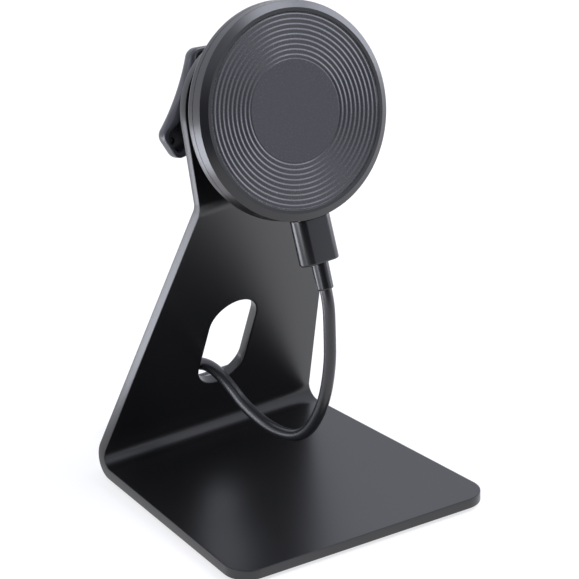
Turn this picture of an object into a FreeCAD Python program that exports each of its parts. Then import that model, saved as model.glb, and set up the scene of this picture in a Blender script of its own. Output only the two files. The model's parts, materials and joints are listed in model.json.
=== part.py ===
"""Desk charging stand: a bent aluminium sheet that carries a round wireless charging puck.

Millimetres, +Z up, front towards -Y. The origin is the middle of the base's underside, on the desk.
"""
import FreeCAD, Part
import math
import os

V = FreeCAD.Vector
X_AXIS = V(1, 0, 0)

# Bent sheet
SHEET = 3.0                  # aluminium thickness
BASE_FRONT_WIDTH = 87.0
BASE_REAR_WIDTH = 71.4       # at the line where base and back plate would meet
BASE_DEPTH = 77.5            # front edge to that line
CORNER_RADIUS = 7.0          # front corners of the base
BACK_LEAN = 70.8             # degrees between the base and the back plate
BACK_LENGTH = 92.6           # up the back plate to the knee
REAR_BEND = 3.4              # inside radius of the bend behind the base
KNEE_WIDTH = 45.4
KNEE_BEND = 3.0              # inside radius of the bend at the knee
NECK_LEAN = 68.2             # degrees between the desk and the neck
PUCK_UP_NECK = 23.4          # knee to the puck's axis, up the neck
HEAD_RADIUS = 21.0           # round top of the neck, about the puck's axis
BEND_STEPS = 6               # sections along the trimmed sides of a bend
TRIM = 0.8                   # stock outside the trimmed sides

# Cable slot in the back plate
SLOT_WIDTH = 15.7
SLOT_LENGTH = 31.3
SLOT_MIDDLE = 34.25          # up the back plate

# Silicone sheet under the base
PAD_THICKNESS = 1.0
PAD_INSET = 3.0

# Charging puck, measured forward from the neck's front face
PUCK_RADIUS = 30.75
PUCK_STANDOFF = 16.2         # neck to the back of the puck
PUCK_THICKNESS = 7.6
REAR_ROUND = 1.0             # chamfer on the back edge
SEAM_HEIGHT = 2.8            # depth of the rear half at the rim
SEAM_BREAK = 0.15
FACE_CHAMFER_WIDTH = 2.1
FACE_CHAMFER_DEPTH = 1.3
HOUSING_FLOOR = 1.8
HOUSING_WALL = 1.8
LIP_WIDTH = 1.1              # flat rim round the face pad
LEDGE_WIDTH = 2.0            # the face pad's seat in the front half
LEDGE_THICKNESS = 0.7
FACE_RECESS = 0.2            # ridge crests below the rim

# Ridged face pad
PAD_FIT = 0.1                # radial clearance in the front half
PAD_FLANGE = 0.8
RIDGE_PITCH = 1.41
RIDGE_FIRST = 15.3           # radius of the innermost crest
RIDGE_HEIGHT = 0.45

# Inside the puck
MAGNET_CLEARANCE = 1.95      # magnets to the housing's wall
MAGNET_WIDTH = 4.0
MAGNET_HEIGHT = 1.5
MAGNET_COUNT = 16
MAGNET_GAP = 3.0             # degrees between neighbours
MAGNET_BREAK = 46.0          # degrees left free at the socket
SEAT_MARGIN = 0.4
SEAT_HEIGHT = 1.2
SHIELD_CLEARANCE = 1.5       # ferrite to the magnets
SHIELD_THICKNESS = 0.6
BOARD_MARGIN = 1.0           # ferrite's edge past the board
BOARD_THICKNESS = 1.0
COIL_MARGIN = 0.5            # ferrite's edge past the winding
COIL_WIDTH = 11.0
COIL_HEIGHT = 1.0
COIL_TURNS = 8

# Charging lead's plug and socket
SOCKET_WIDTH = 8.94
SOCKET_HEIGHT = 3.2
SOCKET_DEPTH = 7.3
SOCKET_WALL = 0.3
PORT_LEVEL = 2.5             # puck's back to the middle of the socket
PORT_FIT = 0.15
PLUG_SHELL_WIDTH = 8.25
PLUG_SHELL_HEIGHT = 2.4
PLUG_SHELL_LENGTH = 6.5
PLUG_WALL = 0.3
SHELL_CORNER = 0.45          # corner radius of the flat metal sleeves, as a share of their height
PLUG_WIDTH = 12.0
PLUG_HEIGHT = 6.4
PLUG_LENGTH = 12.65
PLUG_CORNER = 3.1            # sides all but half round
PLUG_END_ROUND = 0.6
PLUG_GAP = 0.2               # moulding to the puck's rim
RELIEF_LENGTH = 7.7
RELIEF_ROOT = 4.9
RELIEF_TIP = 4.7
RELIEF_END_ROUND = 0.4
CABLE = 3.5

# Mount between neck and puck
FOOT_RADIUS = 16.0
FOOT_HEIGHT = 2.5
COLUMN_RADIUS = 9.5
FLANGE_RADIUS = 17.0
FLANGE_HEIGHT = 3.0
MOUNT_CONE = 2.5             # rise of the cones that join the column to foot and flange
LUG_OFFSET = 12.0
LUG_LENGTH = 6.0
LUG_WIDTH = 3.0
LUG_DEPTH = 2.4
LUG_FIT = 0.1
SCREW_COUNT = 3
SCREW_CIRCLE = 13.4
SCREW_THREAD = 2.5
SCREW_HEAD = 4.4
SCREW_HEAD_HEIGHT = 1.8
SCREW_KEY = 2.0              # across the flats of the socket in the head
SCREW_GRIP = 1.5             # thread in the puck's back

# Clamp stud and its three-lobed knob
STUD = 7.8
STUD_FIT = 0.16              # clearance on diameter
HEX_FLATS = 13.0
HEX_HEIGHT = 5.3
HEX_FIT = 0.1
STUD_SHORT = 1.0             # stud's end to the blind end of the knob's bore
WASHER_RADIUS = 14.5         # covers the windows for the mount's keys
WASHER_THICKNESS = 1.2
KNOB_GAP = 0.2               # knob to washer
HUB_RADIUS = 7.5             # at the washer
SKIRT_RADIUS = 9.5           # hub at the lobes
KNOB_RIM = 16.0              # neck's back to the rim of the lobes
KNOB_DEPTH = 4.8
KNOB_WALL = 1.2
KNOB_FLOOR = 1.4
LOBES = 3
LOBE_ANGLE = 83.0            # first lobe, seen from the front
LOBE_REACH = 17.6
WAIST = 12.5                 # axis to the sides between lobes
WAIST_HOLLOW = 1.4
POCKET_HOLLOW = 3.0          # sides of the pocket in the lobes
LOBE_CORNER = 3.2
KNOB_EDGE = 2.4              # rounding of the back
RIM_ROUND = 0.5
PIN_HOLE = 2.2
PIN_DEPTH = 0.8
PIN_CIRCLE = 14.4
INSERT_RADIUS = 5.5
INSERT_LENGTH = 13.0
INSERT_RECESS = 0.8

# Hank of spare lead behind the back plate
HANK_X = 11.2
HANK_Y = 52.35
HANK_RUN = 39.5              # straight part
HANK_OUTER = 11.15           # half of its width
HANK_INNER = 6.0
HANK_LAYERS = 2
HANK_ROUND = 1.4
TIE_X = 30.4
TIE_WIDTH = 5.0
TIE_THICKNESS = 0.5          # the hank lies on its lower band
FAR_PLUG_X = 10.5            # cable end of the far plug's relief
FAR_PLUG_Y = 47.1

# Routes of the lead where it isn't wound: from the near plug, and from the hank to the far plug
CABLE_LEAD = 4.0             # straight out of each strain relief
CABLE_ROUTE = [
    (0.0, -21.4, 60.6),
    (0.0, -21.7, 49.2),
    (-0.4, -18.8, 35.2),
    (-1.2, -11.0, 22.8),
    (-2.4, 1.5, 19.6),
    (-3.8, 13.5, 22.7),
    (-4.2, 20.7, 26.6),
    (-4.6, 27.8, 29.4),
    (-5.1, 34.7, 28.3),
    (-5.9, 41.2, 23.7),
    (-6.4, 45.2, 16.9),
    (-4.6, 49.2, 9.0),
    (3.2, 50.4, 4.3),
    (13.0, 45.4, 3.4),
]
TAIL_START = [(-14.5, 44.6, 5.7), (-9.0, 44.4, 6.0), (-3.5, 45.0, 7.9), (1.5, 46.3, 10.2)]
BEND_SHARE = 0.45            # of the shorter run, taken up by each arc

# Values worked out from those above
ROOT = V(0, BASE_DEPTH / 2, PAD_THICKNESS + SHEET)
REAR_TURN = 180 - BACK_LEAN
KNEE_TURN = 180 - BACK_LEAN - NECK_LEAN
REAR_SETBACK = REAR_BEND * math.tan(math.radians(REAR_TURN / 2))
KNEE_SETBACK = (KNEE_BEND + SHEET) * math.tan(math.radians(KNEE_TURN / 2))
BASE_PLACE = FreeCAD.Placement(ROOT, FreeCAD.Rotation())
BACK_PLACE = FreeCAD.Placement(ROOT, FreeCAD.Rotation(X_AXIS, REAR_TURN))
KNEE = BACK_PLACE.multVec(V(0, BACK_LENGTH, 0))
NECK_PLACE = FreeCAD.Placement(KNEE, FreeCAD.Rotation(X_AXIS, NECK_LEAN))
AXIS_PLACE = FreeCAD.Placement(NECK_PLACE.multVec(V(0, PUCK_UP_NECK, 0)), NECK_PLACE.Rotation)

PUCK_BACK = PUCK_STANDOFF
FLANGE_BACK = PUCK_BACK - FLANGE_HEIGHT
PUCK_FRONT = PUCK_BACK + PUCK_THICKNESS
FLOOR_TOP = PUCK_BACK + HOUSING_FLOOR
SEAM = PUCK_BACK + SEAM_HEIGHT
WALL_INNER = PUCK_RADIUS - HOUSING_WALL
MAGNET_OUTER = WALL_INNER - MAGNET_CLEARANCE
MAGNET_INNER = MAGNET_OUTER - MAGNET_WIDTH
SHIELD_RADIUS = MAGNET_INNER - SHIELD_CLEARANCE
BOARD_RADIUS = SHIELD_RADIUS - BOARD_MARGIN
COIL_OUTER = SHIELD_RADIUS - COIL_MARGIN
COIL_INNER = COIL_OUTER - COIL_WIDTH
FACE_RADIUS = PUCK_RADIUS - FACE_CHAMFER_WIDTH
RECESS_RADIUS = FACE_RADIUS - LIP_WIDTH
LEDGE_RADIUS = RECESS_RADIUS - LEDGE_WIDTH
RIDGE_COUNT = int((RECESS_RADIUS - PAD_FIT - RIDGE_FIRST) / RIDGE_PITCH + 0.5)  # all that fit
CREST = PUCK_FRONT - FACE_RECESS
VALLEY = CREST - RIDGE_HEIGHT
LEDGE_TOP = VALLEY - PAD_FLANGE
LEDGE_BOTTOM = LEDGE_TOP - LEDGE_THICKNESS
MAGNET_SEAT = FLOOR_TOP + SEAT_HEIGHT
MAGNET_TOP = MAGNET_SEAT + MAGNET_HEIGHT
PLUG_LEVEL = PUCK_BACK + PORT_LEVEL
SOCKET_BOTTOM = PLUG_LEVEL - SOCKET_HEIGHT / 2
SOCKET_TOP = PLUG_LEVEL + SOCKET_HEIGHT / 2
PLUG_TOP = -PUCK_RADIUS - PLUG_GAP
RELIEF_TOP = PLUG_TOP - PLUG_LENGTH
CABLE_TOP = RELIEF_TOP - RELIEF_LENGTH
HANK_BOTTOM = TIE_THICKNESS
HANK_TOP = HANK_BOTTOM + HANK_LAYERS * CABLE
FAR_PLUG_Z = HANK_TOP + TIE_THICKNESS + PLUG_HEIGHT / 2
KNOB_FRONT = -SHEET - WASHER_THICKNESS - KNOB_GAP
RIM_LEVEL = -SHEET - KNOB_RIM
KNOB_BACK = RIM_LEVEL - KNOB_DEPTH
INSERT_FRONT = KNOB_FRONT - INSERT_RECESS
INSERT_BACK = INSERT_FRONT - INSERT_LENGTH


def moved(shape, placement):
    """The shape carried from its own frame into the stand's."""
    copy = shape.copy()
    copy.Placement = placement.multiply(copy.Placement)
    return copy


def outline(points):
    """Closed polygon wire through points in the local XY plane."""
    corners = [V(x, y, 0) for x, y in points]
    return Part.makePolygon(corners + corners[:1])


def tapered_wire(half_low, low, half_high, high):
    """Symmetrical outline between two levels of local Y, each with its own half width."""
    return outline([(-half_low, low), (half_low, low), (half_high, high), (-half_high, high)])


def prism(wire, bottom, top):
    """Solid between two levels along local Z."""
    base = wire.copy()
    base.translate(V(0, 0, bottom))
    return Part.Face(base).extrude(V(0, 0, top - bottom))


def turned(points, sweep=360):
    """Solid of revolution about local Z, from (radius, level) points."""
    corners = [V(r, 0, z) for r, z in points]
    return Part.Face(Part.makePolygon(corners + corners[:1])).revolve(V(), V(0, 0, 1), sweep)


def drum(radius, bottom, top, x=0.0, y=0.0):
    return Part.makeCylinder(radius, top - bottom, V(x, y, bottom))


def rounded_bar(width, height, start, length, level, radius):
    """Bar along local -Y from start, width by height in section, with its four long edges rounded."""
    box = Part.makeBox(width, length, height, V(-width / 2, start - length, level - height / 2))
    long_edges = [e for e in box.Edges if abs(e.tangentAt(e.FirstParameter).y) > 0.9]
    return box.makeFillet(radius, long_edges)


def obround_wire(length, width):
    """Slot outline along local Y: two straight sides and two half circles."""
    r, h = width / 2, (length - width) / 2
    right = Part.LineSegment(V(r, -h, 0), V(r, h, 0))
    top = Part.Arc(V(r, h, 0), V(0, h + r, 0), V(-r, h, 0))
    left = Part.LineSegment(V(-r, h, 0), V(-r, -h, 0))
    bottom = Part.Arc(V(-r, -h, 0), V(0, -h - r, 0), V(r, -h, 0))
    return Part.Wire([s.toShape() for s in (right, top, left, bottom)])


def base_half(y):
    share = -y / BASE_DEPTH
    return (BASE_REAR_WIDTH + (BASE_FRONT_WIDTH - BASE_REAR_WIDTH) * share) / 2


def back_half(s):
    share = s / BACK_LENGTH
    return (BASE_REAR_WIDTH + (KNEE_WIDTH - BASE_REAR_WIDTH) * share) / 2


def neck_taper():
    """Degrees by which the neck's sides lean in, so that they run into the round head without a corner."""
    reach = math.hypot(KNEE_WIDTH / 2, PUCK_UP_NECK)
    return math.degrees(math.acos(HEAD_RADIUS / reach) - math.atan2(PUCK_UP_NECK, KNEE_WIDTH / 2))


def neck_half(v):
    return KNEE_WIDTH / 2 - v * math.tan(math.radians(neck_taper()))


def base_plate():
    front, rear = -BASE_DEPTH, -REAR_SETBACK
    plate = prism(tapered_wire(base_half(front), front, base_half(rear), rear), -SHEET, 0)
    corners = [e for e in plate.Edges if abs(e.tangentAt(0).z) > 0.9 and e.CenterOfMass.y < front + SHEET]
    return moved(plate.makeFillet(CORNER_RADIUS, corners), BASE_PLACE)


def back_plate():
    low, high = REAR_SETBACK, BACK_LENGTH - KNEE_SETBACK
    wire = tapered_wire(back_half(low), low, back_half(high), high)
    return moved(prism(wire, -SHEET, 0), BACK_PLACE)


def neck_plate():
    """Tapered neck whose sides end on the round head."""
    lean = math.radians(neck_taper())
    side, rise = HEAD_RADIUS * math.cos(lean), PUCK_UP_NECK + HEAD_RADIUS * math.sin(lean)
    half = neck_half(KNEE_SETBACK)
    head = Part.Arc(V(side, rise, 0), V(0, PUCK_UP_NECK + HEAD_RADIUS, 0), V(-side, rise, 0))
    edges = [
        Part.LineSegment(V(-half, KNEE_SETBACK, 0), V(half, KNEE_SETBACK, 0)),
        Part.LineSegment(V(half, KNEE_SETBACK, 0), V(side, rise, 0)),
        head,
        Part.LineSegment(V(-side, rise, 0), V(-half, KNEE_SETBACK, 0)),
    ]
    return moved(prism(Part.Wire([e.toShape() for e in edges]), -SHEET, 0), NECK_PLACE)


def radial_wire(centre, angle, near, far, x0, x1):
    """Rectangle in the plane through the bend's axis at this angle."""
    out = V(0, math.cos(math.radians(angle)), math.sin(math.radians(angle)))
    corners = [centre + out * r + V(x, 0, 0) for r, x in ((near, x0), (far, x0), (far, x1), (near, x1))]
    return Part.makePolygon(corners + corners[:1])


def bend(centre, start, turn, inside, half_start, half_end):
    """Sheet rolled about an X axis, with both side edges led from one half width to the other."""
    widest = max(half_start, half_end) + TRIM
    strip = radial_wire(centre, start, inside, inside + SHEET, -widest, widest)
    roll = Part.Face(strip).revolve(centre, X_AXIS, turn)
    for side in (-1, 1):
        sections = []
        for i in range(-1, BEND_STEPS + 2):
            half = half_start + (half_end - half_start) * i / BEND_STEPS
            angle = start + turn * i / BEND_STEPS
            x0, x1 = side * half, side * (widest + TRIM)
            sections.append(radial_wire(centre, angle, inside - TRIM, inside + SHEET + TRIM, x0, x1))
        roll = roll.cut(Part.makeLoft(sections, True))
    return roll


def rear_bend():
    centre = BASE_PLACE.multVec(V(0, -REAR_SETBACK, REAR_BEND))
    return bend(centre, -90, REAR_TURN, REAR_BEND, base_half(-REAR_SETBACK), back_half(REAR_SETBACK))


def knee_bend():
    centre = NECK_PLACE.multVec(V(0, KNEE_SETBACK, -SHEET - KNEE_BEND))
    front = BACK_PLACE.Rotation.multVec(V(0, 0, 1))
    start = math.degrees(math.atan2(front.z, front.y))
    low, high = back_half(BACK_LENGTH - KNEE_SETBACK), neck_half(KNEE_SETBACK)
    return bend(centre, start, -KNEE_TURN, KNEE_BEND, low, high)


def lug_boxes(fit, depth):
    """The two keys that stop the mount from turning on the neck, or the windows that take them."""
    width, length = LUG_WIDTH + 2 * fit, LUG_LENGTH + 2 * fit
    corners = [V(side * LUG_OFFSET - width / 2, -length / 2, -depth) for side in (-1, 1)]
    return [Part.makeBox(width, length, depth, corner) for corner in corners]


def stand_frame():
    """One blank of sheet, cut and bent twice."""
    frame = base_plate().fuse([rear_bend(), back_plate(), knee_bend(), neck_plate()]).removeSplitter()
    slot = prism(obround_wire(SLOT_LENGTH, SLOT_WIDTH), -2 * SHEET, SHEET)
    slot.translate(V(0, SLOT_MIDDLE, 0))
    frame = frame.cut(moved(slot, BACK_PLACE))
    hole = drum((STUD + STUD_FIT) / 2, -2 * SHEET, SHEET)
    for tool in [hole] + lug_boxes(LUG_FIT, SHEET):
        frame = frame.cut(moved(tool, AXIS_PLACE))
    return frame


def base_pad():
    """Silicone sheet bonded under the base, a little smaller all round."""
    front, rear = -BASE_DEPTH + PAD_INSET, -REAR_SETBACK - PAD_INSET
    wire = tapered_wire(base_half(front) - PAD_INSET, front, base_half(rear) - PAD_INSET, rear)
    sheet = prism(wire, -SHEET - PAD_THICKNESS, -SHEET)
    upright = [e for e in sheet.Edges if abs(e.tangentAt(0).z) > 0.9]
    return moved(sheet.makeFillet(CORNER_RADIUS - PAD_INSET, upright), BASE_PLACE)


def port_box(bottom, top):
    """Opening for the plug through the puck's rim."""
    half = SOCKET_WIDTH / 2 + PORT_FIT
    deep = SOCKET_DEPTH + HOUSING_WALL + SEAT_MARGIN
    return Part.makeBox(2 * half, deep + PLUG_GAP, top - bottom, V(-half, -PUCK_RADIUS - PLUG_GAP, bottom))


def screw_places():
    for i in range(SCREW_COUNT):
        angle = math.radians(90 + 360 * i / SCREW_COUNT)
        yield SCREW_CIRCLE * math.cos(angle), SCREW_CIRCLE * math.sin(angle)


def rear_housing():
    seat_in, seat_out = MAGNET_INNER - SEAT_MARGIN, MAGNET_OUTER + SEAT_MARGIN
    cup = turned([
        (0, PUCK_BACK), (PUCK_RADIUS - REAR_ROUND, PUCK_BACK), (PUCK_RADIUS, PUCK_BACK + REAR_ROUND),
        (PUCK_RADIUS, SEAM - SEAM_BREAK), (PUCK_RADIUS - SEAM_BREAK, SEAM),
        (WALL_INNER, SEAM), (WALL_INNER, FLOOR_TOP), (seat_out, FLOOR_TOP),
        (seat_out, MAGNET_SEAT), (seat_in, MAGNET_SEAT), (seat_in, FLOOR_TOP), (0, FLOOR_TOP)])
    cup = cup.cut(port_box(SOCKET_BOTTOM, PUCK_FRONT))
    for x, y in screw_places():
        cup = cup.cut(drum(SCREW_THREAD / 2, PUCK_BACK, PUCK_BACK + SCREW_GRIP, x, y))
    return moved(cup, AXIS_PLACE)


def front_bezel():
    ring = turned([
        (PUCK_RADIUS - SEAM_BREAK, SEAM), (PUCK_RADIUS, SEAM + SEAM_BREAK),
        (PUCK_RADIUS, PUCK_FRONT - FACE_CHAMFER_DEPTH), (FACE_RADIUS, PUCK_FRONT),
        (RECESS_RADIUS, PUCK_FRONT), (RECESS_RADIUS, LEDGE_TOP), (LEDGE_RADIUS, LEDGE_TOP),
        (LEDGE_RADIUS, LEDGE_BOTTOM), (WALL_INNER, LEDGE_BOTTOM), (WALL_INNER, SEAM)])
    return moved(ring.cut(port_box(SEAM, SOCKET_TOP + PORT_FIT)), AXIS_PLACE)


def face_pad():
    """Silicone disc with round-topped rings about a plain middle, and a spigot that fills the front half."""
    rim, spigot = RECESS_RADIUS - PAD_FIT, LEDGE_RADIUS - PAD_FIT
    inner, outer = RIDGE_FIRST - RIDGE_PITCH / 2, RIDGE_FIRST + RIDGE_PITCH * (RIDGE_COUNT - 0.5)
    lines = [
        (inner, VALLEY), (inner - RIDGE_HEIGHT, CREST), (0, CREST), (0, MAGNET_TOP), (spigot, MAGNET_TOP),
        (spigot, LEDGE_TOP), (rim, LEDGE_TOP), (rim, VALLEY), (outer, VALLEY)]
    edges = [Part.LineSegment(V(a[0], 0, a[1]), V(b[0], 0, b[1])).toShape() for a, b in zip(lines, lines[1:])]
    for i in reversed(range(RIDGE_COUNT)):
        crest = RIDGE_FIRST + RIDGE_PITCH * i
        ends = [V(crest + side * RIDGE_PITCH / 2, 0, VALLEY) for side in (1, -1)]
        edges.append(Part.Arc(ends[0], V(crest, 0, CREST), ends[1]).toShape())
    pad = Part.Face(Part.Wire(edges)).revolve(V(), V(0, 0, 1), 360)
    return moved(pad, AXIS_PLACE)


def circuit_board():
    board = drum(BOARD_RADIUS, FLOOR_TOP, FLOOR_TOP + BOARD_THICKNESS)
    return moved(board, AXIS_PLACE)


def ferrite_shield():
    bottom = FLOOR_TOP + BOARD_THICKNESS
    return moved(drum(SHIELD_RADIUS, bottom, bottom + SHIELD_THICKNESS), AXIS_PLACE)


def charging_coil():
    """Flat winding: one round-topped ring for each turn of wire."""
    bottom = FLOOR_TOP + BOARD_THICKNESS + SHIELD_THICKNESS
    pitch = (COIL_OUTER - COIL_INNER) / COIL_TURNS
    middle = bottom + COIL_HEIGHT / 2
    corners = [(COIL_OUTER, middle), (COIL_OUTER, bottom), (COIL_INNER, bottom), (COIL_INNER, middle)]
    sides = [V(r, 0, z) for r, z in corners]
    edges = [Part.LineSegment(a, b).toShape() for a, b in zip(sides, sides[1:])]
    for i in range(COIL_TURNS):
        left = COIL_INNER + pitch * i
        top = V(left + pitch / 2, 0, bottom + COIL_HEIGHT)
        edges.append(Part.Arc(V(left, 0, middle), top, V(left + pitch, 0, middle)).toShape())
    return moved(Part.Face(Part.Wire(edges)).revolve(V(), V(0, 0, 1), 360), AXIS_PLACE)


def magnet_ring():
    """Row of magnet segments, left open at the socket."""
    step = (360 - MAGNET_BREAK) / MAGNET_COUNT
    first = -90 + MAGNET_BREAK / 2 + MAGNET_GAP / 2
    corners = [
        (MAGNET_INNER, MAGNET_SEAT), (MAGNET_OUTER, MAGNET_SEAT),
        (MAGNET_OUTER, MAGNET_TOP), (MAGNET_INNER, MAGNET_TOP)]
    segment = turned(corners, step - MAGNET_GAP)
    segments = []
    for i in range(MAGNET_COUNT):
        copy = segment.copy()
        copy.rotate(V(), V(0, 0, 1), first + step * i)
        segments.append(moved(copy, AXIS_PLACE))
    return Part.makeCompound(segments)


def usb_socket():
    """Flat steel sleeve that takes the plug's tongue."""
    mouth = -WALL_INNER - SEAT_MARGIN
    start = mouth + SOCKET_DEPTH
    width, height = SOCKET_WIDTH, SOCKET_HEIGHT
    sleeve = rounded_bar(width, height, start, SOCKET_DEPTH, PLUG_LEVEL, SHELL_CORNER * height)
    width, height = width - 2 * SOCKET_WALL, height - 2 * SOCKET_WALL
    cavity = rounded_bar(width, height, start - SOCKET_WALL, SOCKET_DEPTH, PLUG_LEVEL, SHELL_CORNER * height)
    return moved(sleeve.cut(cavity), AXIS_PLACE)


def plug_shell_local():
    """Hollow metal tongue, from the moulding up into the socket."""
    width, height, length = PLUG_SHELL_WIDTH, PLUG_SHELL_HEIGHT, PLUG_SHELL_LENGTH
    start = PLUG_TOP + length
    sleeve = rounded_bar(width, height, start, length, PLUG_LEVEL, SHELL_CORNER * height)
    width, height, length = width - 2 * PLUG_WALL, height - 2 * PLUG_WALL, length - PLUG_WALL
    return sleeve.cut(rounded_bar(width, height, start, length, PLUG_LEVEL, SHELL_CORNER * height))


def plug_body_local():
    """Moulded grip with round sides and a softened cable end."""
    bar = rounded_bar(PLUG_WIDTH, PLUG_HEIGHT, PLUG_TOP, PLUG_LENGTH, PLUG_LEVEL, PLUG_CORNER)
    cable_end = [f for f in bar.Faces if abs(f.CenterOfMass.y - RELIEF_TOP) < 1e-6][0]
    return bar.makeFillet(PLUG_END_ROUND, cable_end.Edges)


def relief_local():
    """Tapered sleeve round the cable where it leaves the grip."""
    root = V(0, RELIEF_TOP, PLUG_LEVEL)
    sleeve = Part.makeCone(RELIEF_ROOT / 2, RELIEF_TIP / 2, RELIEF_LENGTH, root, V(0, -1, 0))
    tip = [f for f in sleeve.Faces if abs(f.CenterOfMass.y - CABLE_TOP) < 1e-6][0]
    return sleeve.makeFillet(RELIEF_END_ROUND, tip.Edges)


def mount_head():
    """Turned spacer from the neck to the puck, keyed to the neck and bored for the stud."""
    column_low, column_high = FOOT_HEIGHT + MOUNT_CONE, FLANGE_BACK - MOUNT_CONE / 2
    spool = turned([
        (0, 0), (FOOT_RADIUS, 0), (FOOT_RADIUS, FOOT_HEIGHT),
        (COLUMN_RADIUS, column_low), (COLUMN_RADIUS, column_high),
        (COLUMN_RADIUS + MOUNT_CONE / 2, FLANGE_BACK), (FLANGE_RADIUS, FLANGE_BACK),
        (FLANGE_RADIUS, PUCK_BACK), (0, PUCK_BACK)])
    spool = spool.fuse(lug_boxes(0, LUG_DEPTH)).removeSplitter()
    spool = spool.cut(drum((STUD + STUD_FIT) / 2, 0, PUCK_BACK))
    spool = spool.cut(hexagon(HEX_FLATS + HEX_FIT, PUCK_BACK - HEX_HEIGHT - HEX_FIT, PUCK_BACK))
    for x, y in screw_places():
        spool = spool.cut(drum(SCREW_THREAD / 2, FLANGE_BACK, PUCK_BACK, x, y))
    return moved(spool, AXIS_PLACE)


def hexagon(flats, bottom, top):
    corner = flats / math.sqrt(3)
    angles = [math.radians(60 * i) for i in range(6)]
    return prism(outline([(corner * math.cos(a), corner * math.sin(a)) for a in angles]), bottom, top)


def mount_screws():
    head_back = FLANGE_BACK - SCREW_HEAD_HEIGHT
    screws = []
    for x, y in screw_places():
        head = drum(SCREW_HEAD / 2, head_back, FLANGE_BACK, x, y)
        shank = drum(SCREW_THREAD / 2, FLANGE_BACK, PUCK_BACK + SCREW_GRIP, x, y)
        socket = hexagon(SCREW_KEY, head_back, head_back + SCREW_HEAD_HEIGHT / 2)
        socket.translate(V(x, y, 0))
        screws.append(moved(head.fuse(shank).removeSplitter().cut(socket), AXIS_PLACE))
    return Part.makeCompound(screws)


def clamp_stud():
    under = PUCK_BACK - HEX_HEIGHT
    head = hexagon(HEX_FLATS, under, PUCK_BACK)
    shank = drum(STUD / 2, INSERT_BACK + STUD_SHORT, under)
    return moved(head.fuse(shank).removeSplitter(), AXIS_PLACE)


def thrust_washer():
    ring = drum(WASHER_RADIUS, -SHEET - WASHER_THICKNESS, -SHEET)
    return moved(ring.cut(drum((STUD + STUD_FIT) / 2, -SHEET - WASHER_THICKNESS, -SHEET)), AXIS_PLACE)


def lobed_wire(reach, waist, hollow, corner):
    """Three flat-ended lobes joined by slightly hollow sides, with rounded corners."""
    half_step = math.pi / LOBES
    half_end = (waist - reach * math.cos(half_step)) / math.sin(half_step)
    edges, ends = [], []
    for i in range(LOBES):
        a = math.radians(LOBE_ANGLE) + 2 * half_step * i
        out, along = V(math.cos(a), math.sin(a), 0), V(-math.sin(a), math.cos(a), 0)
        ends.append((out * reach - along * half_end, out * reach + along * half_end))
    for i in range(LOBES):
        start, stop = ends[i]
        following = ends[(i + 1) % LOBES][0]
        middle = (stop + following) * 0.5
        inward = middle * (1 - hollow / middle.Length)
        edges.append(Part.LineSegment(start, stop).toShape())
        edges.append(Part.Arc(stop, inward, following).toShape())
    sharp = prism(Part.Wire(edges), 0, 1)
    upright = [e for e in sharp.Edges if abs(e.tangentAt(e.FirstParameter).z) > 0.9]
    rounded = sharp.makeFillet(corner, upright)
    foot = [f for f in rounded.Faces if f.normalAt(0, 0).z < -0.9][0]
    return foot.OuterWire


def clamp_knob():
    """Moulded hand knob on a long hub, its lobes hollow towards the neck, with a pin hole in each."""
    shell = prism(lobed_wire(LOBE_REACH, WAIST, WAIST_HOLLOW, LOBE_CORNER), KNOB_BACK, RIM_LEVEL)
    back = [f for f in shell.Faces if f.normalAt(0, 0).z < -0.9][0]
    shell = shell.makeFillet(KNOB_EDGE, back.Edges)
    rim = [f for f in shell.Faces if f.normalAt(0, 0).z > 0.9][0]
    shell = shell.makeFillet(RIM_ROUND, rim.Edges)
    inner = lobed_wire(LOBE_REACH - KNOB_WALL, WAIST - KNOB_WALL, POCKET_HOLLOW, LOBE_CORNER - KNOB_WALL)
    floor = KNOB_BACK + KNOB_FLOOR
    shell = shell.cut(prism(inner, floor, RIM_LEVEL))
    root = KNOB_BACK + KNOB_FLOOR / 2
    hub = turned([
        (0, root), (SKIRT_RADIUS, root), (SKIRT_RADIUS, RIM_LEVEL),
        (HUB_RADIUS, KNOB_FRONT), (0, KNOB_FRONT)])
    shell = shell.fuse(hub).removeSplitter()
    shell = shell.cut(drum(INSERT_RADIUS, INSERT_BACK, KNOB_FRONT))
    for i in range(LOBES):
        a = math.radians(LOBE_ANGLE + 360 / LOBES * i)
        x, y = PIN_CIRCLE * math.cos(a), PIN_CIRCLE * math.sin(a)
        shell = shell.cut(drum(PIN_HOLE / 2, floor - PIN_DEPTH, floor, x, y))
    return moved(shell, AXIS_PLACE)


def knob_insert():
    """Threaded brass sleeve that runs on the stud."""
    sleeve = drum(INSERT_RADIUS, INSERT_BACK, INSERT_FRONT)
    return moved(sleeve.cut(drum((STUD + STUD_FIT) / 2, INSERT_BACK, INSERT_FRONT)), AXIS_PLACE)


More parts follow.
